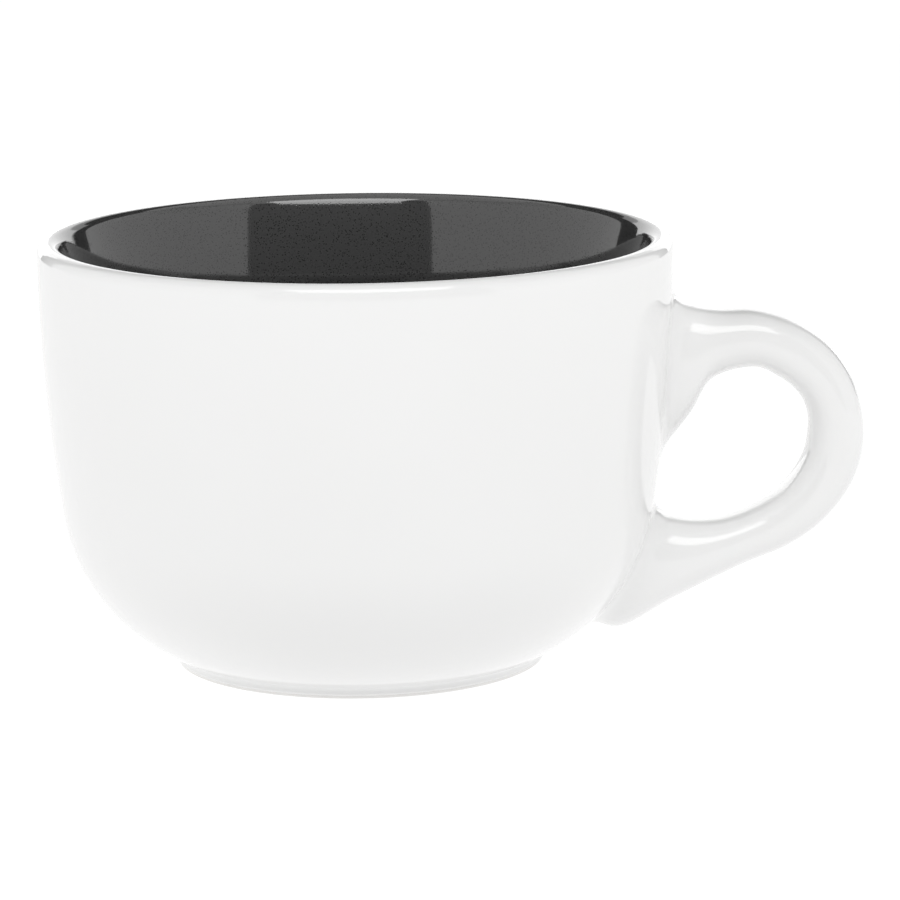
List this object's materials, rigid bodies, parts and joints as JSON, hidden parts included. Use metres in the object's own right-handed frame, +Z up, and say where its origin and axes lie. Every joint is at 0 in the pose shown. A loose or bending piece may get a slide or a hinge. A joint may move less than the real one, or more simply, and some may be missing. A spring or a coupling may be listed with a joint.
{
  "type": "cappuccino cup",
  "caption": "Wide glazed mug for milky coffee, with a loop handle, a black lining and a bare foot ring.",
  "frame": {"origin": "on the axis of the cup, in the plane of the face that it stands on", "axes": "+Z up along the axis of the cup, +X towards the handle, +Y to the far side with the handle on the right"},
  "size_m": [0.1408, 0.108, 0.0732],
  "materials": {
    "clay": "matte fired clay, bare only on the standing face",
    "handle_clay": "matte fired clay under glaze",
    "slip": "matte fired slip under glaze",
    "white_glaze": "gloss white glaze",
    "black_glaze": "gloss black glaze with fine pits"
  },
  "bodies": {
    "root": {"bowl": "clay", "handle": "handle_clay", "upper_slip_joint": "slip", "lower_slip_joint": "slip", "outer_glaze": "white_glaze", "handle_glaze": "white_glaze", "inner_glaze": "black_glaze", "foot_well_glaze": "white_glaze"}
  },
  "joints": []
}
